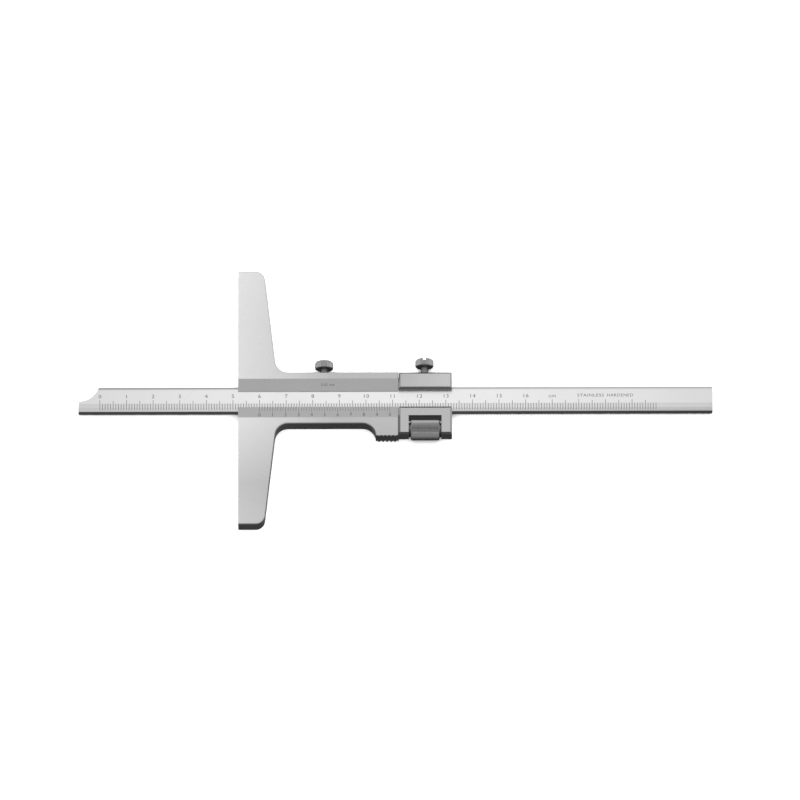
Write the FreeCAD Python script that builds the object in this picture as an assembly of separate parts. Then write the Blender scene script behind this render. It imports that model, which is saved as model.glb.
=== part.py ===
import FreeCAD, Part
import math
import os

from FreeCAD import Vector

# Vernier depth gauge with fine adjustment, in millimetres.
# X runs along the beam and is 0 on the bridge's measuring face; the measuring tip points to -X.
# Y is 0 on the beam's centreline, with the clamp screws on the +Y side.
# Z is 0 on the flat back of the slider, and the graduated side faces +Z.

# Settings of the gauge
reading = 60.0
carriage_gap = 0.1
carriage_screw_slack_turns = 1.5

# Beam
beam_length = 238.2
beam_width = 9.7
beam_thickness = 3.45
beam_end_chamfer = 0.3
beam_edge_break = 0.12
nose_height = 4.2
nose_run = 7.5
upper_land_width = 1.1
upper_edge_bevel_width = 0.85
upper_edge_bevel_drop = 0.3
lower_land_width = 0.75
field_depth = 0.06

# Bridge and slider, one piece
body_thickness = 7.0
back_wall = 1.1
bridge_length = 100.0
bridge_end_width = 9.7
bridge_root_width = 14.3
bridge_corner_radius = 3.5
bridge_root_radius = 5.0
bridge_edge_radius = 0.5
slider_length = 60.2
slider_half_width = 10.0
slider_lower_width = 10.3
thumb_lug_length = 8.5
thumb_lug_drop = 5.1
ridge_pitch = 1.5
ridge_groove_radius = 0.55
ridge_groove_depth = 0.45
ridge_groove_count = 6

# Window over the graduations
window_half_width = 3.1
upper_lip_edge = 0.3
upper_bevel_width = 4.3
vernier_lip_edge = 0.3
vernier_bevel_width = 4.8

# Fine-adjustment carriage
carriage_length = 20.0
carriage_drop = 14.4
carriage_chamfer = 0.7
carriage_window_half_width = 3.5
nut_window_length = 12.4
nut_window_from_left = 3.7
nut_window_top = 7.1

# Adjusting nut and its spindle
nut_diameter = 7.7
nut_knurl_length = 10.8
nut_collar_diameter = 5.2
nut_end_chamfer = 0.35
nut_knurl_count = 44
spindle_diameter = 3.0
thread_pitch = 0.5
nut_axis_drop = 12.1
nut_axis_height = 4.0
spindle_reach = 19.0
spindle_seat_depth = 7.0
spindle_end_chamfer = 0.4
spindle_pin_diameter = 1.2
spindle_pin_from_gap = 3.4
spindle_pin_length = 5.6
spindle_pin_recess = 0.3

# Clamp screws and pressure pads
clamp_screw_height = 3.5
slider_screw_x = 32.3
carriage_screw_from_left = 9.7
screw_head_diameter = 6.9
screw_head_length = 2.9
screw_head_stand_off = 2.06
screw_shank_diameter = 2.9
screw_hole_diameter = 3.0
screw_knurl_count = 34
screw_slot_width = 1.0
screw_slot_depth = 0.9
screw_head_chamfer = 0.45
pad_diameter = 2.0
pad_thickness = 0.8
pad_spigot_diameter = 1.0
pad_spigot_length = 1.2

# Leaf springs
spring_thickness = 0.3
spring_pocket_rise = 1.05
slider_spring_length = 31.0
carriage_spring_length = 14.4
spring_flat_length = 4.0

# Clearances and small allowances
slide_clearance = 0.03
running_clearance = 0.05
seat_clearance = 0.01
pocket_end_clearance = 0.5
knurl_depth = 0.22
cut_margin = 1.0
same_length = 0.001
same_place = 0.01

# Places worked out from the sizes above
beam_half_width = beam_width / 2
beam_back = back_wall + slide_clearance
beam_face = beam_back + beam_thickness
slot_half_width = beam_half_width + slide_clearance
slot_front = beam_face + slide_clearance
tip_x = -reading
beam_end_x = tip_x + beam_length
slider_bottom = -slider_lower_width
lug_bottom = slider_bottom - thumb_lug_drop
lug_left_x = slider_length - thumb_lug_length
carriage_left_x = slider_length + carriage_gap
carriage_right_x = carriage_left_x + carriage_length
nut_window_left_x = carriage_left_x + nut_window_from_left
nut_centre_x = nut_window_left_x + nut_window_length / 2
nut_axis_y = -nut_axis_drop
carriage_screw_x = carriage_left_x + carriage_screw_from_left
pocket_roof = slot_half_width + spring_pocket_rise
spring_seat = beam_half_width + running_clearance
spring_top = spring_seat + spring_thickness


def box(x0, x1, y0, y1, z0, z1):
    return Part.makeBox(x1 - x0, y1 - y0, z1 - z0, Vector(x0, y0, z0))


def cylinder_x(x0, x1, y, z, diameter):
    return Part.makeCylinder(diameter / 2, x1 - x0, Vector(x0, y, z), Vector(1, 0, 0))


def cylinder_y(x, y0, y1, z, diameter):
    return Part.makeCylinder(diameter / 2, y1 - y0, Vector(x, y0, z), Vector(0, 1, 0))


def cylinder_z(x, y, z0, z1, diameter):
    return Part.makeCylinder(diameter / 2, z1 - z0, Vector(x, y, z0), Vector(0, 0, 1))


def prism(wire, direction):
    return Part.Face(wire).extrude(direction)


def lines_through(points):
    return Part.makePolygon(points + points[:1])


def front_edges(shape, height, left_out_x):
    """Edges of the front face, apart from those on the measuring face."""
    chosen = []
    for edge in shape.Edges:
        box_of_edge = edge.BoundBox
        at_bottom = abs(box_of_edge.ZMin - height) < same_length
        at_top = abs(box_of_edge.ZMax - height) < same_length
        on_measuring_face = box_of_edge.XMax < left_out_x + same_length
        if at_bottom and at_top and not on_measuring_face:
            chosen.append(edge)
    return chosen


# Beam

def beam_outline():
    rise = beam_width - nose_height
    radius = (nose_run ** 2 + rise ** 2) / (2 * rise)
    sweep = math.asin(nose_run / radius) / 2
    nose_top = -beam_half_width + nose_height
    start = Vector(tip_x, nose_top, beam_back)
    middle = Vector(
        tip_x + radius * math.sin(sweep),
        nose_top + radius * (1 - math.cos(sweep)),
        beam_back,
    )
    finish = Vector(tip_x + nose_run, beam_half_width, beam_back)
    far_top = Vector(beam_end_x, beam_half_width, beam_back)
    far_bottom = Vector(beam_end_x, -beam_half_width, beam_back)
    tip_bottom = Vector(tip_x, -beam_half_width, beam_back)
    edges = [
        Part.Arc(start, middle, finish).toShape(),
        Part.makeLine(finish, far_top),
        Part.makeLine(far_top, far_bottom),
        Part.makeLine(far_bottom, tip_bottom),
        Part.makeLine(tip_bottom, start),
    ]
    return Part.Wire(edges)


def beam_corner_edges(shape):
    chosen = []
    for edge in shape.Edges:
        bounds = edge.BoundBox
        upright = bounds.ZLength > beam_thickness - same_length
        at_far_end = bounds.XMin > beam_end_x - same_length
        if upright and at_far_end:
            chosen.append(edge)
    return chosen


def upper_edge_bevel():
    """The wedge taken off the graduated face along the beam's upper edge."""
    profile = [
        Vector(tip_x, beam_half_width - upper_edge_bevel_width, beam_face),
        Vector(tip_x, beam_half_width, beam_face - upper_edge_bevel_drop),
        Vector(tip_x, beam_half_width + cut_margin, beam_face - upper_edge_bevel_drop),
        Vector(tip_x, beam_half_width + cut_margin, beam_face + cut_margin),
        Vector(tip_x, beam_half_width - upper_edge_bevel_width, beam_face + cut_margin),
    ]
    return prism(lines_through(profile), Vector(beam_length, 0, 0))


def make_beam():
    blank = prism(beam_outline(), Vector(0, 0, beam_thickness))
    blank = blank.makeChamfer(beam_end_chamfer, beam_corner_edges(blank))
    blank = blank.makeChamfer(beam_edge_break, front_edges(blank, beam_face, tip_x))
    field = box(
        tip_x - cut_margin,
        beam_end_x + cut_margin,
        -beam_half_width + lower_land_width,
        beam_half_width - upper_land_width,
        beam_face - field_depth,
        beam_face + cut_margin,
    )
    return blank.cut([field, upper_edge_bevel()])


# Bridge with slider

def leg_slope_x(y):
    """X of a leg's outer side at distance y from the beam's centreline."""
    run = bridge_length / 2 - slider_half_width
    share = (abs(y) - slider_half_width) / run
    return bridge_root_width + (bridge_end_width - bridge_root_width) * share


def bridge_outline():
    half = bridge_length / 2
    corners = [
        Vector(0, -half, 0),
        Vector(leg_slope_x(half), -half, 0),
        Vector(leg_slope_x(slider_half_width), slider_bottom, 0),
        Vector(lug_left_x, slider_bottom, 0),
        Vector(lug_left_x, lug_bottom, 0),
        Vector(slider_length, lug_bottom, 0),
        Vector(slider_length, slider_half_width, 0),
        Vector(leg_slope_x(slider_half_width), slider_half_width, 0),
        Vector(leg_slope_x(half), half, 0),
        Vector(0, half, 0),
    ]
    return lines_through(corners)


def upright_edges_at(shape, places):
    """The edges along Z that stand at the given X, Y places."""
    chosen = []
    for edge in shape.Edges:
        bounds = edge.BoundBox
        for x, y in places:
            near = math.hypot(bounds.Center.x - x, bounds.Center.y - y) < same_place
            if bounds.ZLength > body_thickness - same_length and near:
                chosen.append(edge)
    return chosen


def slider_blank():
    half = bridge_length / 2
    blank = prism(bridge_outline(), Vector(0, 0, body_thickness))
    end_corners = [(leg_slope_x(half), half), (leg_slope_x(half), -half)]
    root_x = leg_slope_x(slider_half_width)
    roots = [(root_x, slider_half_width), (root_x, slider_bottom)]
    blank = blank.makeFillet(bridge_corner_radius, upright_edges_at(blank, end_corners))
    blank = blank.makeFillet(bridge_root_radius, upright_edges_at(blank, roots))
    thumb_hollow = cylinder_z(
        lug_left_x - thumb_lug_drop,
        lug_bottom,
        0,
        body_thickness,
        2 * thumb_lug_drop,
    )
    web = box(
        lug_left_x - thumb_lug_drop,
        lug_left_x,
        lug_bottom,
        slider_bottom,
        0,
        body_thickness,
    )
    blank = blank.fuse(web.cut(thumb_hollow)).removeSplitter()
    return blank.makeFillet(bridge_edge_radius, front_edges(blank, body_thickness, 0))


def beam_slot(x0, x1):
    return box(x0, x1, -slot_half_width, slot_half_width, back_wall, slot_front)


def slider_window():
    """The opening between the bevelled upper lip and the bevelled vernier lip."""
    above = body_thickness + cut_margin
    profile = [
        Vector(0, -window_half_width, beam_back),
        Vector(0, -window_half_width, beam_face + vernier_lip_edge),
        Vector(0, -window_half_width - vernier_bevel_width, body_thickness),
        Vector(0, -window_half_width - vernier_bevel_width, above),
        Vector(0, window_half_width + upper_bevel_width, above),
        Vector(0, window_half_width + upper_bevel_width, body_thickness),
        Vector(0, window_half_width, beam_face + upper_lip_edge),
        Vector(0, window_half_width, beam_back),
    ]
    cut = prism(lines_through(profile), Vector(slider_length + 2 * cut_margin, 0, 0))
    cut.translate(Vector(-cut_margin, 0, 0))
    return cut


def spring_pocket(centre_x, spring_length):
    half = spring_length / 2 + pocket_end_clearance
    return box(centre_x - half, centre_x + half, 0, pocket_roof, back_wall, slot_front)


def screw_hole(x):
    return cylinder_y(
        x,
        pocket_roof - seat_clearance,
        slider_half_width + cut_margin,
        clamp_screw_height,
        screw_hole_diameter,
    )


def thumb_grooves():
    grooves = []
    span = (ridge_groove_count - 1) * ridge_pitch
    first_x = lug_left_x + (thumb_lug_length - span) / 2
    groove_y = lug_bottom - ridge_groove_radius + ridge_groove_depth
    for i in range(ridge_groove_count):
        x = first_x + i * ridge_pitch
        groove = cylinder_z(
            x, groove_y, -cut_margin, body_thickness + cut_margin, 2 * ridge_groove_radius
        )
        grooves.append(groove)
    return grooves


def spindle_left_x():
    return slider_length - spindle_seat_depth


def spindle_pin_x():
    return slider_length - spindle_pin_from_gap


def make_bridge_body():
    body = slider_blank()
    cuts = [
        beam_slot(-cut_margin, slider_length + cut_margin),
        slider_window(),
        spring_pocket(slider_screw_x, slider_spring_length),
        screw_hole(slider_screw_x),
        cylinder_x(
            spindle_left_x() - seat_clearance,
            slider_length + cut_margin,
            nut_axis_y,
            nut_axis_height,
            spindle_diameter + 2 * seat_clearance,
        ),
        cylinder_z(
            spindle_pin_x(),
            nut_axis_y,
            -cut_margin,
            spindle_pin_recess + spindle_pin_length + seat_clearance,
            spindle_pin_diameter + 2 * seat_clearance,
        ),
    ]
    return body.cut(cuts + thumb_grooves())


# Spindle and its cross pin

def make_adjusting_spindle():
    left = spindle_left_x()
    right = slider_length + spindle_reach
    rod = cylinder_x(left, right, nut_axis_y, nut_axis_height, spindle_diameter)
    ends = [edge for edge in rod.Edges if edge.BoundBox.XLength < same_length]
    rod = rod.makeChamfer(spindle_end_chamfer, ends)
    cross_hole = cylinder_z(
        spindle_pin_x(),
        nut_axis_y,
        0,
        body_thickness,
        spindle_pin_diameter + 2 * seat_clearance,
    )
    return rod.cut(cross_hole)


def make_spindle_pin():
    return cylinder_z(
        spindle_pin_x(),
        nut_axis_y,
        spindle_pin_recess,
        spindle_pin_recess + spindle_pin_length,
        spindle_pin_diameter,
    )


# Leaf springs

def make_leaf_spring(centre_x, length):
    """A bowed strip: flat in the middle, where it bears on the beam, with its ends at the pocket's roof."""
    run = length / 2 - spring_flat_length / 2
    rise = pocket_roof - running_clearance - spring_top
    radius = (run ** 2 + rise ** 2) / (2 * rise)
    sweep = math.asin(run / radius)
    z0 = back_wall + running_clearance
    z1 = slot_front - running_clearance
    centre_y = spring_seat + radius

    def on_arc(side, angle, arc_radius):
        return Vector(
            centre_x + side * (spring_flat_length / 2 + arc_radius * math.sin(angle)),
            centre_y - arc_radius * math.cos(angle),
            z0,
        )

    outer = radius
    inner = radius - spring_thickness
    edges = []
    for side in (1, -1):
        start_outer = on_arc(side, 0, outer)
        end_outer = on_arc(side, sweep, outer)
        end_inner = on_arc(side, sweep, inner)
        start_inner = on_arc(side, 0, inner)
        edges.append(Part.Arc(start_outer, on_arc(side, sweep / 2, outer), end_outer).toShape())
        edges.append(Part.makeLine(end_outer, end_inner))
        edges.append(Part.Arc(end_inner, on_arc(side, sweep / 2, inner), start_inner).toShape())
    edges.append(Part.makeLine(on_arc(1, 0, outer), on_arc(-1, 0, outer)))
    edges.append(Part.makeLine(on_arc(1, 0, inner), on_arc(-1, 0, inner)))
    wire = Part.Wire(Part.__sortEdges__(edges))
    return prism(wire, Vector(0, 0, z1 - z0))


# Fine-adjustment carriage

def carriage_blank():
    return box(
        carriage_left_x,
        carriage_right_x,
        -carriage_drop,
        slider_half_width,
        0,
        body_thickness,
    )


def make_carriage_body():
    body = carriage_blank()
    window = box(
        carriage_left_x - cut_margin,
        carriage_right_x + cut_margin,
        -carriage_window_half_width,
        carriage_window_half_width,
        beam_back,
        body_thickness + cut_margin,
    )
    nut_window = box(
        nut_window_left_x,
        nut_window_left_x + nut_window_length,
        -carriage_drop - cut_margin,
        -nut_window_top,
        -cut_margin,
        body_thickness + cut_margin,
    )
    body = body.cut([window, nut_window])
    body = body.makeChamfer(carriage_chamfer, carriage_chamfer_edges(body))
    spindle_bore = cylinder_x(
        carriage_left_x - cut_margin,
        carriage_right_x + cut_margin,
        nut_axis_y,
        nut_axis_height,
        spindle_diameter + 2 * running_clearance,
    )
    cuts = [
        beam_slot(carriage_left_x - cut_margin, carriage_right_x + cut_margin),
        spring_pocket(carriage_screw_x, carriage_spring_length),
        screw_hole(carriage_screw_x),
        spindle_bore,
    ]
    return body.cut(cuts)


def carriage_chamfer_edges(body):
    """The front edges of the outline and of the two lips, but not those round the nut's window."""
    chosen = []
    for edge in front_edges(body, body_thickness, 0):
        bounds = edge.BoundBox
        right_of_left_ear = nut_window_left_x - same_length < bounds.XMin
        left_of_right_ear = bounds.XMax < nut_window_left_x + nut_window_length + same_length
        if not (right_of_left_ear and left_of_right_ear):
            chosen.append(edge)
    return chosen


# Knurled pieces

def knurled_prism(diameter, length, count):
    """A straight-knurled bar along +Z from the origin, with pointed ridges."""
    outer = diameter / 2
    inner = outer - knurl_depth
    points = []
    for i in range(count):
        at_tip = 2 * math.pi * i / count
        at_root = 2 * math.pi * (i + 0.5) / count
        points.append(Vector(outer * math.cos(at_tip), outer * math.sin(at_tip), 0))
        points.append(Vector(inner * math.cos(at_root), inner * math.sin(at_root), 0))
    return prism(lines_through(points), Vector(0, 0, length))


def chamfered_bar(diameter, length, chamfer):
    bar = Part.makeCylinder(diameter / 2, length)
    rims = [edge for edge in bar.Edges if edge.BoundBox.ZLength < same_length]
    return bar.makeChamfer(chamfer, rims)


def make_adjusting_nut():
    drum = knurled_prism(nut_diameter, nut_knurl_length, nut_knurl_count)
    drum = drum.common(chamfered_bar(nut_diameter, nut_knurl_length, nut_end_chamfer))
    full_length = nut_window_length - 2 * running_clearance
    collar_length = (full_length - nut_knurl_length) / 2
    core = Part.makeCylinder(nut_collar_diameter / 2, full_length, Vector(0, 0, -collar_length))
    bore = Part.makeCylinder(
        spindle_diameter / 2 + running_clearance,
        full_length + 2 * cut_margin,
        Vector(0, 0, -collar_length - cut_margin),
    )
    nut = drum.fuse(core).cut(bore)
    nut.rotate(Vector(0, 0, 0), Vector(0, 1, 0), 90)
    nut.translate(Vector(nut_centre_x - nut_knurl_length / 2, nut_axis_y, nut_axis_height))
    return nut


def pad_bottom(slack_turns):
    return spring_top + slack_turns * thread_pitch


def make_clamp_pad(x, slack_turns):
    seat = pad_bottom(slack_turns)
    disc = cylinder_y(x, seat, seat + pad_thickness, clamp_screw_height, pad_diameter)
    spigot = cylinder_y(
        x,
        seat + pad_thickness - seat_clearance,
        seat + pad_thickness + pad_spigot_length,
        clamp_screw_height,
        pad_spigot_diameter,
    )
    return disc.fuse(spigot)


def make_clamp_screw(x, slack_turns, slot_turn):
    """A slotted, knurled screw, modelled along +Z and then laid along +Y."""
    nose = pad_bottom(slack_turns) + pad_thickness + seat_clearance
    head_bottom = slider_half_width + screw_head_stand_off + slack_turns * thread_pitch
    shank_length = head_bottom - nose
    head = knurled_prism(screw_head_diameter, screw_head_length, screw_knurl_count)
    head = head.common(chamfered_bar(screw_head_diameter, screw_head_length, screw_head_chamfer))
    shank = Part.makeCylinder(
        screw_shank_diameter / 2, shank_length + seat_clearance, Vector(0, 0, -shank_length)
    )
    slot = Part.makeBox(
        screw_head_diameter + cut_margin,
        screw_slot_width,
        screw_slot_depth + cut_margin,
        Vector(
            -(screw_head_diameter + cut_margin) / 2,
            -screw_slot_width / 2,
            screw_head_length - screw_slot_depth,
        ),
    )
    slot.rotate(Vector(0, 0, 0), Vector(0, 0, 1), slot_turn)
    spigot_bore = Part.makeCylinder(
        pad_spigot_diameter / 2 + running_clearance,
        pad_spigot_length + running_clearance,
        Vector(0, 0, -shank_length),
    )
    screw = head.fuse(shank).cut([slot, spigot_bore])
    screw.rotate(Vector(0, 0, 0), Vector(1, 0, 0), -90)
    screw.translate(Vector(x, head_bottom, clamp_screw_height))
    return screw


def save(name, shape):
    solids = shape.Solids
    piece = solids[0] if len(solids) == 1 else Part.makeCompound(solids)
    piece.exportStep(os.path.join("parts", name + ".step"))
    bounds = piece.BoundBox
    low = [round(v, 2) for v in (bounds.XMin, bounds.YMin, bounds.ZMin)]
    high = [round(v, 2) for v in (bounds.XMax, bounds.YMax, bounds.ZMax)]
    print(name, len(solids), piece.isValid(), round(piece.Volume, 2), low, high)


def main():
    os.makedirs("parts", exist_ok=True)
    save("beam", make_beam())
    save("bridge_body", make_bridge_body())
    save("slider_leaf_spring", make_leaf_spring(slider_screw_x, slider_spring_length))
    save("adjusting_spindle", make_adjusting_spindle())
    save("spindle_pin", make_spindle_pin())
    save("carriage_body", make_carriage_body())
    save("carriage_leaf_spring", make_leaf_spring(carriage_screw_x, carriage_spring_length))
    save("adjusting_nut", make_adjusting_nut())
    save("slider_clamp_pad", make_clamp_pad(slider_screw_x, 0))
    save("slider_clamp_screw", make_clamp_screw(slider_screw_x, 0, 0))
    save("carriage_clamp_pad", make_clamp_pad(carriage_screw_x, carriage_screw_slack_turns))
    save("carriage_clamp_screw", make_clamp_screw(carriage_screw_x, carriage_screw_slack_turns, 90))


main()
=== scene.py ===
import math
import bpy
from mathutils import Matrix, Vector


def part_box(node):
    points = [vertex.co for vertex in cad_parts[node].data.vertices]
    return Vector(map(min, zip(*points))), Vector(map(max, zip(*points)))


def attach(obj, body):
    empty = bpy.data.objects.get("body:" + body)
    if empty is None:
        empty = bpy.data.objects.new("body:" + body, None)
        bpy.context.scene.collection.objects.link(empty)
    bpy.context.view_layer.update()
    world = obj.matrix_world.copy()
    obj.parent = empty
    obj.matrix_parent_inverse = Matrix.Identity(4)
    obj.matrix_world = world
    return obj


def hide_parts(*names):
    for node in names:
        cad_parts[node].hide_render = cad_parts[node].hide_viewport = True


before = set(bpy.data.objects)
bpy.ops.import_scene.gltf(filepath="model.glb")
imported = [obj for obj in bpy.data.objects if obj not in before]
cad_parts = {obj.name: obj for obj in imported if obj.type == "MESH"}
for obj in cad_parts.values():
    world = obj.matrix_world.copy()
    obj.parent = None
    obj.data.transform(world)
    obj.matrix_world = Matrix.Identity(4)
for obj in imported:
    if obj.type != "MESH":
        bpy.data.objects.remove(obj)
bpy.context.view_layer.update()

mm = 0.001

# where things are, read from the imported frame
beamLow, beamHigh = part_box("beam")
bridgeLow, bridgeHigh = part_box("bridge_body")
spindleLow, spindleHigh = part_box("adjusting_spindle")
beamFace = beamHigh[2]
bodyFace = bridgeHigh[2]


# shader maths written as ordinary maths: each operator adds its Math node
class Signal:
    def __init__(self, shader, socket):
        self.shader = shader
        self.socket = socket

    def maths(self, operation, *values, clamp=False):
        settings = {"operation": operation, "use_clamp": clamp}
        return self.shader.add("ShaderNodeMath", settings, dict(enumerate(values)))

    def __add__(self, other):
        return self.maths("ADD", self, other)

    def __radd__(self, other):
        return self.maths("ADD", other, self)

    def __sub__(self, other):
        return self.maths("SUBTRACT", self, other)

    def __rsub__(self, other):
        return self.maths("SUBTRACT", other, self)

    def __mul__(self, other):
        return self.maths("MULTIPLY", self, other)

    def __rmul__(self, other):
        return self.maths("MULTIPLY", other, self)

    def __truediv__(self, other):
        return self.maths("DIVIDE", self, other)

    def clamped(self):
        return self.maths("ADD", self, 0.0, clamp=True)


# a node tree with one method that adds any node
class Shader:
    def __init__(self, tree):
        self.tree = tree
        tree.nodes.clear()

    def add(self, kind, settings=None, inputs=None, output=0):
        node = self.tree.nodes.new(kind)
        for key, value in (settings or {}).items():
            if key == "stops":
                self.setStops(node.color_ramp, value)
            else:
                setattr(node, key, value)
        for key, value in (inputs or {}).items():
            self.feed(node.inputs[key], value)
        return Signal(self, node.outputs[output]) if len(node.outputs) else node

    def feed(self, socket, value):
        if isinstance(value, Signal):
            self.tree.links.new(value.socket, socket)
        else:
            socket.default_value = value

    def setStops(self, ramp, stops):
        while len(ramp.elements) < len(stops):
            ramp.elements.new(0.5)
        for element, (place, grey) in zip(ramp.elements, stops):
            element.position = place
            element.color = (grey, grey, grey, 1)

    def place(self):
        return self.add("ShaderNodeTexCoord", output=3)

    def axes(self, vector):
        split = self.add("ShaderNodeSeparateXYZ", inputs={0: vector})
        outputs = split.socket.node.outputs
        return [Signal(self, outputs[i]) for i in range(3)]

    def noise(self, vector, stretch, detail=3.0, roughness=0.55):
        scaled = self.add("ShaderNodeMapping", inputs={"Vector": vector, "Scale": stretch})
        values = {"Vector": scaled, "Scale": 1.0, "Detail": detail, "Roughness": roughness}
        return self.add("ShaderNodeTexNoise", inputs=values)

    # 1 between low and high, fading to 0 over the soft width just inside each
    def band(self, value, low, high, soft):
        rising = ((value - low) / soft).clamped()
        falling = ((high - value) / soft).clamped()
        return rising * falling

    # sparse hairlines, each family at its own angle across the face
    def hairlines(self, vector, angle, fineness):
        turned = self.add("ShaderNodeMapping", inputs={"Vector": vector, "Rotation": (0.0, 0.0, angle)})
        stretch = (fineness / scratchLook["length"], fineness, fineness)
        lines = self.noise(turned, stretch, detail=1.0)
        return ((lines - scratchLook["sparseness"]) / scratchLook["softness"]).clamped()

    def grey(self, value, tint=(1.0, 1.0, 1.0)):
        channels = {i: value * tint[i] for i in range(3)}
        return self.add("ShaderNodeCombineColor", inputs=channels)

    def bump(self, height, strength, distance):
        values = {"Height": height, "Strength": strength, "Distance": distance}
        return self.add("ShaderNodeBump", inputs=values)


def newMaterial(name):
    material = bpy.data.materials.new(name)
    material.use_nodes = True
    return material, Shader(material.node_tree)


def finishMaterial(shader, settings, inputs):
    principled = shader.add("ShaderNodeBsdfPrincipled", settings, inputs)
    shader.add("ShaderNodeOutputMaterial", inputs={"Surface": principled})


# hairline scratches in two directions, shared by all the metals
scratchLook = {
    "families": [(0.35, 2600), (-0.9, 1900)],  # angle in radians, fineness
    "length": 90,
    "sparseness": 0.69,
    "softness": 0.05,
    "rougher": 0.05,
}

# slow changes of tone and polish, shared by all the metals
cloudLook = {"scale": (70, 70, 70), "roughness": 0.12, "streakRoughness": 0.08}
grainDepth = 0.01 * mm


# metal with a directional grain; the function given as its third argument returns a factor for the tone,
# which carries painted light and shade, and what is added to the roughness
def groundMetal(name, look, finish=None):
    material, shader = newMaterial(name)
    place = shader.place()
    x, y, z = shader.axes(place)
    grain = shader.noise(place, look["grain"], detail=2.0)
    streaks = shader.noise(place, look["streaks"], detail=4.0)
    clouds = shader.noise(place, cloudLook["scale"], detail=3.0)
    first, second = [shader.hairlines(place, angle, fineness) for angle, fineness in scratchLook["families"]]
    scratches = first + second
    tone = look["tone"] + (grain - 0.5) * look["grainTone"] + (streaks - 0.5) * look["streakTone"]
    tone = tone + (clouds - 0.5) * look["cloudTone"] - scratches * look["scratchTone"]
    rough = look["roughness"] + (clouds - 0.5) * cloudLook["roughness"]
    rough = rough + (streaks - 0.5) * cloudLook["streakRoughness"] + scratches * scratchLook["rougher"]
    if finish:
        toneFactor, addedRoughness = finish(shader, x, y, z)
        tone = tone * toneFactor
        rough = rough + addedRoughness
    bump = shader.bump(grain, look["grainBump"], grainDepth)
    inputs = {
        "Base Color": shader.grey(tone, look.get("tint", (1.0, 1.0, 1.0))),
        "Metallic": 1.0,
        "Roughness": rough,
        "Normal": bump,
    }
    finishMaterial(shader, None, inputs)
    return material


beamLook = {
    "tone": 0.91,
    "roughness": 0.30,
    "grain": (250, 9000, 9000),
    "streaks": (30, 1500, 1500),
    "grainTone": 0.05,
    "streakTone": 0.04,
    "cloudTone": 0.04,
    "scratchTone": 0.03,
    "grainBump": 0.25,
}


# strips across the beam: from y, to y, and how soft their edges are
beamStrips = {
    "field": (-4.1 * mm, 3.75 * mm, 0.05 * mm),
    "bevel": (3.97 * mm, 4.86 * mm, 0.03 * mm),
    "ticks": (-4.1 * mm, -1.5 * mm, 0.1 * mm),
    "lowerLand": (-4.86 * mm, -4.1 * mm, 0.03 * mm),
    "margin": (-4.1 * mm, -3.2 * mm, 0.1 * mm),
    "groove": (-4.1 * mm, -3.5 * mm, 0.1 * mm),
}

beamShades = {
    # painted light and shade along and across the beam, a darker tick strip, and extra roughness on the field
    "brightestX": 60 * mm,
    "reach": 120 * mm,
    "endsDarker": 0.17,
    "bevelDarker": 0.45,
    "bevelRecovers": 0.2,
    "bevelRun": 177 * mm,
    "ticksDarker": 0.13,
    "landDarker": 0.25,
    "landFades": 0.12,
    "landRun": 100 * mm,
    "marginDarker": 0.1,
    "grooveDarker": 0.1,
    "fieldRougher": 0.06,
}


def beamFinish(shader, x, y, z):
    strips = {name: shader.band(y, *strip) for name, strip in beamStrips.items()}
    shades = beamShades
    # painted light: the beam is painted brightest in the middle of its length, darker towards both ends
    away = (x - shades["brightestX"]) / shades["reach"]
    ends = 1.0 - away * away * shades["endsDarker"]
    # painted shade: the narrow bevel is darkest towards the tip, the lower land and the groove darkest away
    # from it, and the field's lower margin is darker along its step
    bevelRun = (x / shades["bevelRun"]).clamped()
    bevel = 1.0 - strips["bevel"] * (shades["bevelDarker"] - bevelRun * shades["bevelRecovers"])
    ticks = 1.0 - strips["ticks"] * shades["ticksDarker"]
    landRun = (x / shades["landRun"]).clamped()
    land = 1.0 - strips["lowerLand"] * (shades["landDarker"] + landRun * shades["landFades"])
    groove = strips["groove"] * landRun * shades["grooveDarker"]
    margin = 1.0 - strips["margin"] * shades["marginDarker"] - groove
    return ends * bevel * ticks * land * margin, strips["field"] * shades["fieldRougher"]


bridgeLook = {
    "tone": 0.80,
    "roughness": 0.27,
    "grain": (250, 9000, 9000),
    "streaks": (40, 1200, 1200),
    "grainTone": 0.05,
    "streakTone": 0.04,
    "cloudTone": 0.05,
    "scratchTone": 0.03,
    "grainBump": 0.25,
}


# from, to, and how soft the edges are
bridgeZones = {
    "bevelHeights": (4.7 * mm, 6.985 * mm, 0.01 * mm),
    "roundingHeights": (6.6 * mm, 6.97 * mm, 0.08 * mm),
    "upperBevel": (3.1 * mm, 7.4 * mm, 0.05 * mm),
    "vernierBevel": (-7.9 * mm, -3.1 * mm, 0.05 * mm),
}

bridgeShades = {
    # painted light and shade: tones along the arm and across the legs, and the vernier bevel darker
    "armTones": [(0.0, 1.0), (0.35, 0.83), (0.6, 0.68), (0.95, 0.68)],
    "armLength": 60 * mm,
    "legTones": [(0.0, 0.77), (0.16, 0.71), (0.4, 0.96), (0.6, 0.94), (0.8, 0.95), (1.0, 1.0)],
    "legSpan": 100 * mm,
    "vernierDarker": 0.3,
    "satinRougher": 0.15,
    "wornBrighter": 0.12,
    "wornSmoother": 0.06,
}


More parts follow.
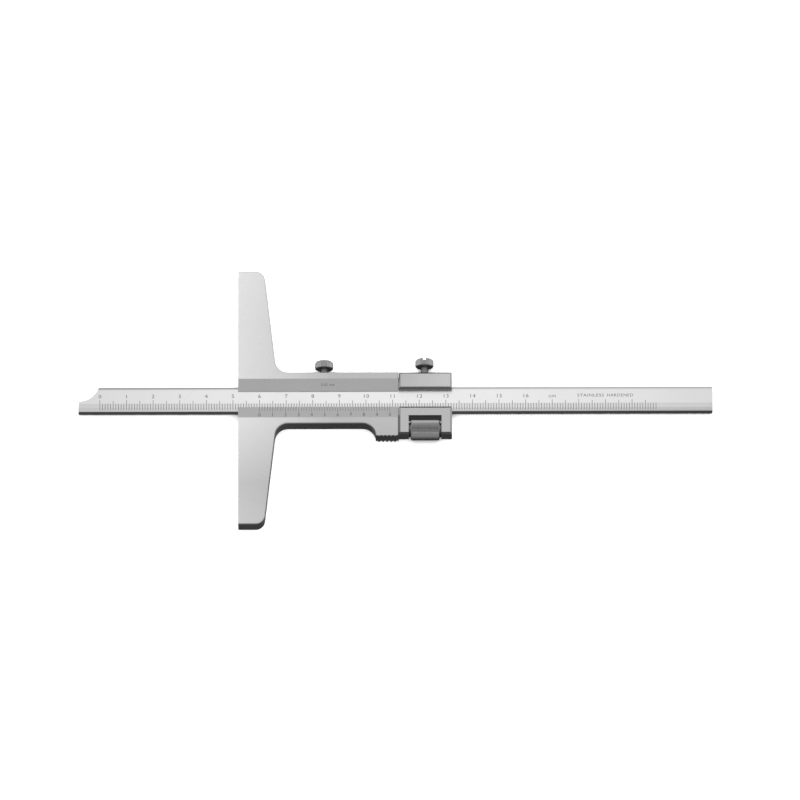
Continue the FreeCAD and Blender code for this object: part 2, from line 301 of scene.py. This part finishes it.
def bridgeFinish(shader, x, y, z):
    shades = bridgeShades
    # the two bevels along the beam are satin, and the vernier bevel is painted darker as shade
    high = shader.band(z, *bridgeZones["bevelHeights"])
    upper = shader.band(y, *bridgeZones["upperBevel"])
    vernier = shader.band(y, *bridgeZones["vernierBevel"])
    satin = high * (upper + vernier).clamped()
    shade = 1.0 - high * vernier * shades["vernierDarker"]
    # painted light and shade: the ground faces are painted darker along the arm and on the lower leg
    along = shader.add("ShaderNodeValToRGB", {"stops": shades["armTones"]}, {0: x / shades["armLength"]})
    legPlace = y / shades["legSpan"] + 0.5
    across = shader.add("ShaderNodeValToRGB", {"stops": shades["legTones"]}, {0: legPlace})
    face = shader.add("ShaderNodeMix", {"data_type": "FLOAT"}, {0: satin, 2: along * across, 3: 1.0})
    # the rounded edges are worn bright
    worn = shader.band(z, *bridgeZones["roundingHeights"]) * (1.0 - satin)
    tone = face * shade * (1.0 + worn * shades["wornBrighter"])
    return tone, satin * shades["satinRougher"] - worn * shades["wornSmoother"]


carriageLook = {
    "tone": 0.515,
    "roughness": 0.27,
    "grain": (250, 9000, 9000),
    "streaks": (40, 1200, 1200),
    "grainTone": 0.05,
    "streakTone": 0.04,
    "cloudTone": 0.05,
    "scratchTone": 0.03,
    "grainBump": 0.25,
}


# from, to, and how soft the edges are
carriageZones = {
    "chamferHeights": (6.28 * mm, 6.985 * mm, 0.01 * mm),
    "lowerChamfer": (-14.5 * mm, -13.7 * mm, 0.02 * mm),
    "lipChamfer": (3.4 * mm, 3.95 * mm, 0.1 * mm),
    "lipWall": (3.3 * mm, 3.6 * mm, 0.02 * mm),
    "lipWallHeights": (4.5 * mm, 6.28 * mm, 0.02 * mm),
}

carriageShades = {
    "faceTone": 0.97,
    # painted light along the strip, painted shade on the chamfers and the lip wall
    "stripStart": 5 * mm,
    "stripLeft": 60 * mm,
    "stripLength": 20 * mm,
    "stripBrightens": 0.2,
    "stripDarker": 0.03,
    "chamferDarker": 0.5,
    "lipWallDarker": 0.65,
}


def carriageFinish(shader, x, y, z):
    shades = carriageShades
    # painted light: the strip above the beam is painted brighter towards the right
    strip = (y / shades["stripStart"]).clamped()
    along = ((x - shades["stripLeft"]) / shades["stripLength"]).clamped()
    face = shades["faceTone"] + strip * (along * shades["stripBrightens"] - shades["stripDarker"])
    # painted shade: two milled chamfers and the wall under the lip are painted dark
    sloping = shader.band(z, *carriageZones["chamferHeights"])
    lower = shader.band(y, *carriageZones["lowerChamfer"])
    lip = shader.band(y, *carriageZones["lipChamfer"])
    wall = shader.band(y, *carriageZones["lipWall"]) * shader.band(z, *carriageZones["lipWallHeights"])
    chamfers = 1.0 - sloping * (lower + lip) * shades["chamferDarker"]
    return face * chamfers * (1.0 - wall * shades["lipWallDarker"]), 0.0


clampScrew = {
    "headLength": 2.9 * mm,
    "shankDiameter": 2.9 * mm,
    "intoHead": 0.1 * mm,
    "cutAbove": 0.01 * mm,
    # painted shade on the neck and under the head
    "darkOnNeck": 0.8 * mm,
    "darkOnHead": 0.3 * mm,
    "darkSoft": 0.15 * mm,
    "darker": 0.45,
}

knurledLook = {
    "tone": 0.42,
    "roughness": 0.27,
    "grain": (6000, 6000, 6000),
    "streaks": (900, 900, 900),
    "grainTone": 0.05,
    "streakTone": 0.06,
    "cloudTone": 0.06,
    "scratchTone": 0.02,
    "grainBump": 0.2,
}


# the near side is measured along the slope (slopeY, slopeZ) through the nut's axis
nutShades = {
    "knurl": (64.8 * mm, 75.6 * mm, 0.02 * mm),
    "collarTone": 0.3,
    "axisY": -12.1 * mm,
    "axisZ": 4.0 * mm,
    "slopeY": 0.95,
    "slopeZ": 0.31,
    # painted shade on the near underside, below the axis
    "undersideFrom": -2.1 * mm,
    "undersideSoft": 1.1 * mm,
    "undersideDarker": 0.65,
    "nearSide": (-2.1 * mm, -0.8 * mm, 0.3 * mm),
    "nearSideDarker": 0.2,
}


# the two collars beside the knurl are darker, and painted shade darkens the near underside
def nutFinish(shader, x, y, z):
    shades = nutShades
    knurl = shader.band(x, *shades["knurl"])
    height = (y - shades["axisY"]) * shades["slopeY"] + (z - shades["axisZ"]) * shades["slopeZ"]
    under = ((shades["undersideFrom"] - height) / shades["undersideSoft"]).clamped()
    near = shader.band(height, *shades["nearSide"])
    tone = shades["collarTone"] + knurl * (1 - shades["collarTone"])
    return tone * (1.0 - under * shades["undersideDarker"] - near * shades["nearSideDarker"]), 0.0


# painted shade darkens a clamp screw under its head and on the neck of its thread
def screwFinish(node):
    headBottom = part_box(node)[1][1] - clampScrew["headLength"]
    darkLow = headBottom - clampScrew["darkOnNeck"]
    darkHigh = headBottom + clampScrew["darkOnHead"]

    def finish(shader, x, y, z):
        shadedBand = shader.band(y, darkLow, darkHigh, clampScrew["darkSoft"])
        return 1.0 - shadedBand * clampScrew["darker"], 0.0

    return finish


springLook = {
    "tone": 0.45,
    "roughness": 0.32,
    "grain": (400, 7000, 7000),
    "streaks": (60, 900, 900),
    "grainTone": 0.05,
    "streakTone": 0.05,
    "cloudTone": 0.08,
    "scratchTone": 0.02,
    "grainBump": 0.2,
    "tint": (0.95, 0.97, 1.05),
}

brassLook = {
    "tone": 0.85,
    "roughness": 0.3,
    "grain": (5000, 900, 5000),
    "streaks": (900, 900, 900),
    "grainTone": 0.06,
    "streakTone": 0.06,
    "cloudTone": 0.08,
    "scratchTone": 0.03,
    "grainBump": 0.2,
    "tint": (0.92, 0.72, 0.36),
}


inkLook = {
    "speckles": (3000, 3000, 3000),
    "tone": 0.035,
    "speckleTone": 0.03,
    "roughness": 0.55,
    "speckleRoughness": 0.2,
}


def inkMaterial(look):
    material, shader = newMaterial("graduationInk")
    speckle = shader.noise(shader.place(), look["speckles"])
    tone = look["tone"] + speckle * look["speckleTone"]
    rough = look["roughness"] + speckle * look["speckleRoughness"]
    finishMaterial(shader, None, {"Base Color": shader.grey(tone), "Roughness": rough})
    return material


def dressNode(node, material):
    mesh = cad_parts[node].data
    mesh.materials.clear()
    mesh.materials.append(material)


bridgeSteel = groundMetal("groundBridgeSteel", bridgeLook, bridgeFinish)
beamSteel = groundMetal("satinBeamSteel", beamLook, beamFinish)
carriageSteel = groundMetal("groundCarriageSteel", carriageLook, carriageFinish)
nutSteel = groundMetal("knurledNutSteel", knurledLook, nutFinish)
sliderScrewSteel = groundMetal("sliderScrewSteel", knurledLook, screwFinish("slider_clamp_screw"))
carriageScrewSteel = groundMetal("carriageScrewSteel", knurledLook, screwFinish("carriage_clamp_screw"))
springSteel = groundMetal("springStrip", springLook)
padBrass = groundMetal("turnedBrass", brassLook)
ink = inkMaterial(inkLook)

dressNode("beam", beamSteel)
dressNode("bridge_body", bridgeSteel)
dressNode("carriage_body", carriageSteel)
dressNode("slider_leaf_spring", springSteel)
dressNode("carriage_leaf_spring", springSteel)
dressNode("spindle_pin", springSteel)
dressNode("adjusting_nut", nutSteel)
for node in ("slider_clamp_pad", "carriage_clamp_pad"):
    dressNode(node, padBrass)
print("materials made")


def deselectAll():
    if bpy.context.object and bpy.context.object.mode != "OBJECT":
        bpy.ops.object.mode_set(mode="OBJECT")
    bpy.ops.object.select_all(action="DESELECT")


def selectOnly(objects):
    deselectAll()
    for each in objects:
        each.select_set(True)
    bpy.context.view_layer.objects.active = objects[0]


def joined(objects, name):
    selectOnly(objects)
    bpy.ops.object.join()
    piece = bpy.context.object
    piece.name = name
    piece.data.name = name
    return piece


# how near points are merged, or count as lying in a cut
nearness = {"cut": 0.001 * mm, "word": 0.001 * mm, "thread": 0.002 * mm, "head": 0.0005 * mm}


# takes off what lies beyond the plane, and closes the cut
def cutSquare(place, outwards):
    bpy.ops.mesh.select_all(action="SELECT")
    bpy.ops.mesh.bisect(
        plane_co=place, plane_no=outwards, use_fill=True, clear_outer=True, threshold=nearness["cut"]
    )


def applyPlace(piece):
    selectOnly([piece])
    bpy.ops.object.transform_apply(location=True, rotation=True, scale=True)


def paint(piece, material, body):
    piece.data.materials.clear()
    piece.data.materials.append(material)
    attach(piece, body)


# one engraved line filled with ink, along Y from low to high at x
def engravedLine(line, x, low, high):
    deselectAll()
    middle = (low + high) / 2
    bpy.ops.mesh.primitive_cube_add(size=1, location=(x, middle, line["level"]))
    stroke = bpy.context.object
    stroke.scale = (line["width"], high - low, line["depth"])
    bpy.ops.object.transform_apply(location=False, rotation=False, scale=True)
    bpy.ops.object.mode_set(mode="EDIT")
    bpy.ops.mesh.select_all(action="SELECT")
    bpy.ops.mesh.bevel(offset=line["crown"], segments=1)
    bpy.ops.object.mode_set(mode="OBJECT")
    return stroke


def engravedWord(words, text, height, x, low, level):
    deselectAll()
    bpy.ops.object.text_add(location=(0, 0, 0))
    word = bpy.context.object
    word.data.body = text
    word.data.align_x = "CENTER"
    word.data.size = height * words["sizeForHeight"]
    word.data.space_character = words["spacing"]
    word.data.extrude = words["depth"] / 2
    word.data.resolution_u = 3
    bpy.ops.object.convert(target="MESH")
    word.scale = (words["widening"], 1, 1)
    word.location = (x, low, level)
    applyPlace(word)
    bpy.ops.object.mode_set(mode="EDIT")
    bpy.ops.mesh.select_all(action="SELECT")
    bpy.ops.mesh.remove_doubles(threshold=nearness["word"])
    bpy.ops.mesh.normals_make_consistent(inside=False)
    bpy.ops.object.mode_set(mode="OBJECT")
    return word


beamScale = {
    "zeroFromTip": 8.0 * mm,
    "bottom": -4.1 * mm,
    "oneTop": -1.6 * mm,
    "fiveTop": -0.5 * mm,
    "tenTop": -0.15 * mm,
    "centimetres": 21,
    "lastNumber": 16,
    "numberBottom": 0.6 * mm,
    "numberHeight": 1.5 * mm,
    "fieldDepth": 0.06 * mm,
    "width": 0.19 * mm,
    "depth": 0.06 * mm,
    "proud": 0.006 * mm,
    "crown": 0.012 * mm,
    "sizeForHeight": 1.37,
    "widening": 1.12,
    "spacing": 1.12,
}


def makeBeamScale(scale):
    zeroX = beamLow[0] + scale["zeroFromTip"]
    surface = beamFace - scale["fieldDepth"]
    scale["level"] = surface + scale["proud"] - scale["depth"] / 2
    lines = []
    for i in range(10):
        top = scale["tenTop"] if i == 0 else scale["fiveTop"] if i == 5 else scale["oneTop"]
        lines.append(engravedLine(scale, zeroX + i * mm, scale["bottom"], top))
    graduation = joined(lines, "beamGraduation")
    applyPlace(graduation)
    array = graduation.modifiers.new("centimetres", "ARRAY")
    array.count = scale["centimetres"]
    array.use_relative_offset = False
    array.use_constant_offset = True
    array.constant_offset_displace = (10 * mm, 0, 0)
    bpy.ops.object.modifier_apply(modifier="centimetres")
    paint(graduation, ink, "measuring_beam")
    words = []
    for number in range(scale["lastNumber"] + 2):
        text = "cm" if number > scale["lastNumber"] else str(number)
        x = zeroX + number * 10 * mm
        word = engravedWord(scale, text, scale["numberHeight"], x, scale["numberBottom"], scale["level"])
        words.append(word)
    paint(joined(words, "beamNumbers"), ink, "measuring_beam")


makeBeamScale(beamScale)
print("beam graduation cut")


steelMark = {
    "words": [("STAINLESS", 132.4 * mm, 1.22), ("HARDENED", 143.5 * mm, 1.07)],  # text, middle, widening
    "height": 1.2 * mm,
    "bottom": 0.9 * mm,
    "depth": 0.05 * mm,
    "proud": 0.006 * mm,
    "sizeForHeight": 1.37,
    "spacing": 1.1,
}


def makeSteelMark(mark):
    level = beamFace - beamScale["fieldDepth"] + mark["proud"] - mark["depth"] / 2
    words = []
    for text, x, widening in mark["words"]:
        mark["widening"] = widening
        words.append(engravedWord(mark, text, mark["height"], x, mark["bottom"], level))
    paint(joined(words, "steelMark"), ink, "measuring_beam")


makeSteelMark(steelMark)
print("steel mark cut")


vernierScale = {
    "zeroX": 8.0 * mm,
    "pitch": 0.98 * mm,
    "groups": 10,
    "lipY": -3.1 * mm,
    "lipAboveBeam": 0.3 * mm,
    "bevelWidth": 4.8 * mm,
    "shortLine": 1.9 * mm,
    "longLine": 2.7 * mm,
    "numberTop": 3.0 * mm,
    "numberHeight": 1.7 * mm,
    "width": 0.14 * mm,
    "depth": 0.06 * mm,
    "proud": 0.006 * mm,
    "crown": 0.012 * mm,
    "sizeForHeight": 1.37,
    "widening": 0.85,
    "spacing": 1.1,
}


# laid flat with the lip along y = 0 and the bevel towards -y, then tipped onto the bevel
def makeVernier(scale):
    scale["level"] = scale["proud"] - scale["depth"] / 2
    lines = []
    for i in range(5):
        length = scale["longLine"] if i == 0 else scale["shortLine"]
        lines.append(engravedLine(scale, i * scale["pitch"], -length, 0))
    group = joined(lines, "vernierLines")
    applyPlace(group)
    array = group.modifiers.new("groups", "ARRAY")
    array.count = scale["groups"]
    array.use_relative_offset = False
    array.use_constant_offset = True
    array.constant_offset_displace = (5 * scale["pitch"], 0, 0)
    bpy.ops.object.modifier_apply(modifier="groups")
    last = engravedLine(scale, 5 * scale["groups"] * scale["pitch"], -scale["longLine"], 0)
    words = []
    for number in range(scale["groups"] + 1):
        low = -scale["numberTop"] - scale["numberHeight"]
        x = number * 5 * scale["pitch"]
        words.append(engravedWord(scale, str(number % 10), scale["numberHeight"], x, low, scale["level"]))
    applyPlace(last)
    vernier = joined([group, last] + words, "vernierGraduation")
    rise = bodyFace - beamFace - scale["lipAboveBeam"]
    vernier.rotation_euler = (-math.atan2(rise, scale["bevelWidth"]), 0, 0)
    vernier.location = (bridgeLow[0] + scale["zeroX"], scale["lipY"], beamFace + scale["lipAboveBeam"])
    applyPlace(vernier)
    paint(vernier, ink, "bridge")


makeVernier(vernierScale)
print("vernier cut")


readingMark = {
    "text": "0.02 mm",
    "x": 33.7 * mm,
    "height": 1.05 * mm,
    "lipY": 3.1 * mm,
    "lipAboveBeam": 0.3 * mm,
    "bevelWidth": 4.3 * mm,
    "upBevel": 2.0 * mm,
    "depth": 0.05 * mm,
    "proud": 0.006 * mm,
    "sizeForHeight": 1.37,
    "widening": 0.9,
    "spacing": 1.15,
}


def makeReadingMark(mark):
    level = mark["proud"] - mark["depth"] / 2
    word = engravedWord(mark, mark["text"], mark["height"], 0, mark["upBevel"], level)
    word.name = "readingMark"
    drop = bodyFace - beamFace - mark["lipAboveBeam"]
    word.rotation_euler = (math.atan2(drop, mark["bevelWidth"]), 0, 0)
    word.location = (mark["x"], mark["lipY"], beamFace + mark["lipAboveBeam"])
    applyPlace(word)
    paint(word, ink, "bridge")


makeReadingMark(readingMark)
print("reading mark cut")


threadCut = {
    "pitch": 0.5 * mm,
    "depth": 0.27 * mm,
    "steps": 24,
    "flat": 0.06,
}


# one pitch of the thread's profile is turned into a helix by the Screw modifier, and both ends are cut
# square; the bar runs along X from start to end, with its axis on y = 0, z = 0
def threadedBar(cut, name, start, end, crest):
    root = crest - cut["depth"]
    pitch = cut["pitch"]
    deselectAll()
    bpy.ops.mesh.primitive_grid_add(x_subdivisions=4, y_subdivisions=1, size=1)
    bar = bpy.context.object
    bar.name = name
    bpy.ops.object.mode_set(mode="EDIT")
    bpy.ops.mesh.select_all(action="DESELECT")
    bpy.ops.object.mode_set(mode="OBJECT")
    for vertex in bar.data.vertices:
        vertex.select = vertex.co.y > 0
    bpy.ops.object.mode_set(mode="EDIT")
    bpy.ops.mesh.delete(type="VERT")
    bpy.ops.object.mode_set(mode="OBJECT")
    places = [0, 0.5 - cut["flat"], 0.5 + cut["flat"], 1 - 2 * cut["flat"], 1]
    heights = [root, crest, crest, root, root]
    ordered = sorted(bar.data.vertices, key=lambda vertex: vertex.co.x)
    for vertex, share, height in zip(ordered, places, heights):
        vertex.co = (share * pitch, height, 0)
    helix = bar.modifiers.new("helix", "SCREW")
    helix.axis = "X"
    helix.angle = 2 * math.pi
    helix.screw_offset = pitch
    helix.iterations = math.ceil((end - start) / pitch) + 3
    helix.steps = cut["steps"]
    helix.render_steps = cut["steps"]
    selectOnly([bar])
    bpy.ops.object.modifier_apply(modifier="helix")
    bar.location = (start - 2 * pitch, 0, 0)
    applyPlace(bar)
    bpy.ops.object.mode_set(mode="EDIT")
    bpy.ops.mesh.select_all(action="SELECT")
    bpy.ops.mesh.remove_doubles(threshold=nearness["thread"])
    for endX, side in ((start, -1), (end, 1)):
        cutSquare((endX, 0, 0), (side, 0, 0))
    bpy.ops.mesh.select_all(action="SELECT")
    bpy.ops.mesh.normals_make_consistent(inside=False)
    bpy.ops.object.mode_set(mode="OBJECT")
    return bar


def makeSpindle():
    axisY = (spindleLow[1] + spindleHigh[1]) / 2
    axisZ = (spindleLow[2] + spindleHigh[2]) / 2
    crest = (spindleHigh[1] - spindleLow[1]) / 2
    spindle = threadedBar(threadCut, "threadedSpindle", spindleLow[0], spindleHigh[0], crest)
    spindle.location = (0, axisY, axisZ)
    applyPlace(spindle)
    spindle.data.materials.append(springSteel)
    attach(spindle, "bridge")
    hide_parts("adjusting_spindle")


makeSpindle()
print("spindle threaded")


# the knurled head is the CAD one cut free of its shank, and a threaded shank takes the place of the plain one
def makeClampScrew(screw, node, body, material, name):
    low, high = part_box(node)
    axisX = (low[0] + high[0]) / 2
    axisZ = (low[2] + high[2]) / 2
    headBottom = high[1] - screw["headLength"]
    head = bpy.data.objects.new(name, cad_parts[node].data.copy())
    bpy.context.collection.objects.link(head)
    selectOnly([head])
    bpy.ops.object.mode_set(mode="EDIT")
    bpy.ops.mesh.select_all(action="SELECT")
    bpy.ops.mesh.remove_doubles(threshold=nearness["head"])
    cutSquare((0, headBottom + screw["cutAbove"], 0), (0, -1, 0))
    bpy.ops.object.mode_set(mode="OBJECT")
    shankEnd = headBottom + screw["intoHead"]
    shank = threadedBar(threadCut, name + "Shank", low[1], shankEnd, screw["shankDiameter"] / 2)
    shank.rotation_euler = (0, 0, math.radians(90))
    shank.location = (axisX, 0, axisZ)
    applyPlace(shank)
    piece = joined([head, shank], name)
    piece.data.materials.clear()
    piece.data.materials.append(material)
    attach(piece, body)
    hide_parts(node)


makeClampScrew(clampScrew, "slider_clamp_screw", "slider_screw", sliderScrewSteel, "sliderClampScrew")
makeClampScrew(clampScrew, "carriage_clamp_screw", "carriage_screw", carriageScrewSteel, "carriageClampScrew")
print("clamp screws threaded")


# studio: a pale floor, a soft sky and one wide overhead lamp
floorLook = {
    "size": 30.0,
    "drop": 0.02 * mm,
    "clouds": (3, 3, 3),
    "tone": 0.93,
    "cloudTone": 0.01,
    "roughness": 0.9,
}


def makeFloor(look):
    deselectAll()
    bpy.ops.mesh.primitive_plane_add(size=look["size"], location=(0, 0, -look["drop"]))
    floor = bpy.context.object
    floor.name = "floor"
    material, shader = newMaterial("paleFloor")
    clouds = shader.noise(shader.place(), look["clouds"])
    tone = look["tone"] + (clouds - 0.5) * look["cloudTone"]
    finishMaterial(shader, None, {"Base Color": shader.grey(tone), "Roughness": look["roughness"]})
    floor.data.materials.append(material)
    floor.visible_glossy = False


makeFloor(floorLook)


# brightness by the height of a direction, from straight down to straight up, and by its side, from the
# near one, where the studio is dark, to the far one
skyLook = {
    "heights": [
        (0.0, 0.1),
        (0.06, 0.12),
        (0.24, 0.22),
        (0.37, 0.36),
        (0.5, 0.7),
        (0.69, 0.72),
        (0.8, 0.8),
        (0.94, 1.0),
    ],
    "sides": [(0.0, 0.28), (0.14, 0.5), (0.44, 0.5), (0.58, 1.0)],
    "strength": 1.02,
}


def makeSky(look):
    world = bpy.data.worlds.new("studioSky")
    world.use_nodes = True
    bpy.context.scene.world = world
    shader = Shader(world.node_tree)
    direction = shader.add("ShaderNodeTexCoord", output=0)
    x, y, z = shader.axes(direction)
    height = shader.add("ShaderNodeValToRGB", {"stops": look["heights"]}, {0: z * 0.5 + 0.5})
    side = shader.add("ShaderNodeValToRGB", {"stops": look["sides"]}, {0: y * 0.5 + 0.5})
    multiply = {"data_type": "RGBA", "blend_type": "MULTIPLY"}
    lit = shader.add("ShaderNodeMix", multiply, {0: 1.0, 6: height, 7: side}, 2)
    background = shader.add("ShaderNodeBackground", inputs={"Color": lit, "Strength": look["strength"]})
    shader.add("ShaderNodeOutputWorld", inputs={"Surface": background})


makeSky(skyLook)


lampLook = {"place": (0.05, 0.1, 1.5), "size": 2.4, "power": 56.0}


def makeLamp(look):
    bpy.ops.object.light_add(type="AREA", location=look["place"])
    lamp = bpy.context.object
    lamp.name = "overheadLamp"
    lamp.data.shape = "DISK"
    lamp.data.size = look["size"]
    lamp.data.energy = look["power"]
    lamp.visible_glossy = False


makeLamp(lampLook)
print("studio ready")


photoView = {
    "target": (60.79 * mm, -0.34 * mm, 4.6 * mm),
    "distance": 7900 * mm,
    "elevation": 71.8,
    "roll": -0.13,
    "pixelsPerMillimetre": 2.661,
    "imageSide": 800,
    "nearest": 0.05,
    "farthest": 50,
}


def makeCamera(view):
    data = bpy.data.cameras.new("photoCamera")
    camera = bpy.data.objects.new("photoCamera", data)
    bpy.context.collection.objects.link(camera)
    tilt = math.radians(90 - view["elevation"])
    back = Vector((0, -math.sin(tilt), math.cos(tilt)))
    camera.location = Vector(view["target"]) + back * view["distance"]
    upright = back.to_track_quat("Z", "Y").to_matrix()
    camera.rotation_euler = (upright @ Matrix.Rotation(math.radians(view["roll"]), 3, "Z")).to_euler()
    focalPixels = view["pixelsPerMillimetre"] / mm * view["distance"]
    data.lens = focalPixels * data.sensor_width / view["imageSide"]
    data.clip_start = view["nearest"]
    data.clip_end = view["farthest"]
    bpy.context.scene.camera = camera


makeCamera(photoView)
bpy.context.scene.view_settings.view_transform = "Standard"
print("camera set")
